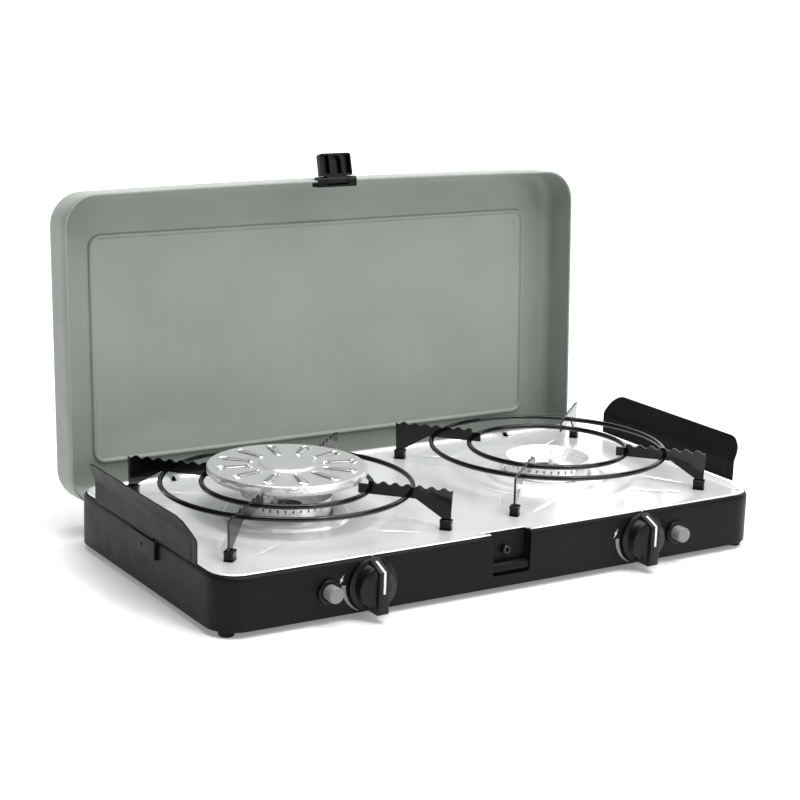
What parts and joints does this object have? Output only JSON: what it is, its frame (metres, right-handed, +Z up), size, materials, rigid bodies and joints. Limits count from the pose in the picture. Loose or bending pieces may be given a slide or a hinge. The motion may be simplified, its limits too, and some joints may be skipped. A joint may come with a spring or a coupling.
{
  "type": "camping stove",
  "caption": "Portable gas camping stove: flat casing with steel hob tray, round burners with wire pan supports, turn knobs, spark buttons, side wind guards and a hinged lid.",
  "frame": {"origin": "on the ground, under the middle of the casing", "axes": "+X to the user's right along the front, +Y to the back where the lid stands, +Z up"},
  "size_m": [0.6272, 0.405, 0.365],
  "materials": {
    "casing_black": "satin black powder coat",
    "guard_black": "satin black powder coat",
    "tray_steel": "bright polished stainless steel",
    "burner_steel": "bright stainless steel",
    "burner_aluminium": "cast aluminium",
    "zinc_steel": "zinc plated steel",
    "screw_black": "black steel",
    "brass": "turned brass",
    "rubber_black": "matte rubber",
    "enamel_black": "glossy black enamel",
    "socket_black": "satin heat-proof plastic",
    "knob_black": "satin moulded plastic",
    "igniter_body_black": "moulded plastic",
    "pointer_white": "white inlay",
    "button_grey": "grey moulded plastic",
    "ceramic_white": "glazed ceramic",
    "lead_insulation": "silicone insulation",
    "lid_green": "satin sage green paint",
    "catch_black": "satin moulded plastic"
  },
  "bodies": {
    "casing": {"casing_shell": "casing_black", "base_plate": "casing_black", "catch_screw": "screw_black", "recess_ledge_bar": "casing_black", "hob_tray": "tray_steel", "rubber_feet": "rubber_black", "foot_screws": "zinc_steel", "gas_rail": "zinc_steel", "gas_inlet_nipple": "brass", "hinge_brackets": "zinc_steel", "hinge_bracket_rivets": "zinc_steel", "hinge_pins": "zinc_steel", "guard_brackets": "casing_black", "guard_bracket_rivets": "casing_black", "burner_screws": "zinc_steel", "electrode_ceramics": "ceramic_white", "gas_jets": "brass", "igniter_collars": "knob_black", "burner_cup_left": "burner_aluminium", "burner_head_left": "burner_aluminium", "burner_bowl_left": "burner_steel", "spark_electrode_left": "zinc_steel", "ignition_lead_left": "lead_insulation", "gas_tap_left": "brass", "mixing_tube_left": "burner_aluminium", "support_sockets_left": "socket_black", "igniter_body_left": "igniter_body_black", "burner_cup_right": "burner_aluminium", "burner_head_right": "burner_aluminium", "burner_bowl_right": "burner_steel", "spark_electrode_right": "zinc_steel", "ignition_lead_right": "lead_insulation", "gas_tap_right": "brass", "mixing_tube_right": "burner_aluminium", "support_sockets_right": "socket_black", "igniter_body_right": "igniter_body_black"},
    "lid": {"lid_shell": "lid_green", "hinge_arms": "zinc_steel", "hinge_arm_rivets": "zinc_steel", "catch_mount": "catch_black", "catch_pin": "zinc_steel"},
    "lid_catch": {"catch_lever": "catch_black"},
    "heat_diffuser": {"heat_diffuser": "tray_steel"},
    "knob_left": {"knob_left": "knob_black", "knob_pointer_left": "pointer_white", "tap_stem_left": "brass"},
    "igniter_button_left": {"igniter_button_left": "button_grey"},
    "pan_support_left": {"support_outer_ring_left": "enamel_black", "support_inner_ring_left": "enamel_black", "support_blades_left": "enamel_black"},
    "wind_guard_left": {"wind_guard_left": "guard_black"},
    "knob_right": {"knob_right": "knob_black", "knob_pointer_right": "pointer_white", "tap_stem_right": "brass"},
    "igniter_button_right": {"igniter_button_right": "button_grey"},
    "pan_support_right": {"support_outer_ring_right": "enamel_black", "support_inner_ring_right": "enamel_black", "support_blades_right": "enamel_black"},
    "wind_guard_right": {"wind_guard_right": "guard_black"}
  },
  "joints": [
    {"name": "lid_hinge", "type": "hinge", "parent": "casing", "child": "lid", "pos_m": [0, 0.14462, 0.04026], "axis": [-1, 0, 0], "range_deg": [-93.12, 0]},
    {"name": "catch_hinge", "type": "hinge", "parent": "lid", "child": "lid_catch", "pos_m": [0, 0.18219, 0.33738], "axis": [-1, 0, 0], "range_deg": [-102, 0]},
    {"name": "knob_turn_left", "type": "hinge", "parent": "casing", "child": "knob_left", "pos_m": [-0.151, -0.1555, 0.0315], "axis": [0, -1, 0], "range_deg": [0, 200]},
    {"name": "igniter_press_left", "type": "slide", "parent": "casing", "child": "igniter_button_left", "axis": [0, 1, 0], "range_m": [0, 0.004], "stiffness_N_per_m": 400},
    {"name": "pan_support_lift_left", "type": "slide", "parent": "casing", "child": "pan_support_left", "axis": [0, 0, 1], "range_m": [0, 0.06]},
    {"name": "wind_guard_lift_left", "type": "slide", "parent": "casing", "child": "wind_guard_left", "axis": [0, 0, 1], "range_m": [0, 0.05]},
    {"name": "knob_turn_right", "type": "hinge", "parent": "casing", "child": "knob_right", "pos_m": [0.151, -0.1555, 0.0315], "axis": [0, -1, 0], "range_deg": [0, 200]},
    {"name": "igniter_press_right", "type": "slide", "parent": "casing", "child": "igniter_button_right", "axis": [0, 1, 0], "range_m": [0, 0.004], "stiffness_N_per_m": 400},
    {"name": "pan_support_lift_right", "type": "slide", "parent": "casing", "child": "pan_support_right", "axis": [0, 0, 1], "range_m": [0, 0.06]},
    {"name": "wind_guard_lift_right", "type": "slide", "parent": "casing", "child": "wind_guard_right", "axis": [0, 0, 1], "range_m": [0, 0.05]},
    {"name": "diffuser_lift", "type": "slide", "parent": "pan_support_left", "child": "heat_diffuser", "axis": [0, 0, 1], "range_m": [0, 0.05]}
  ]
}
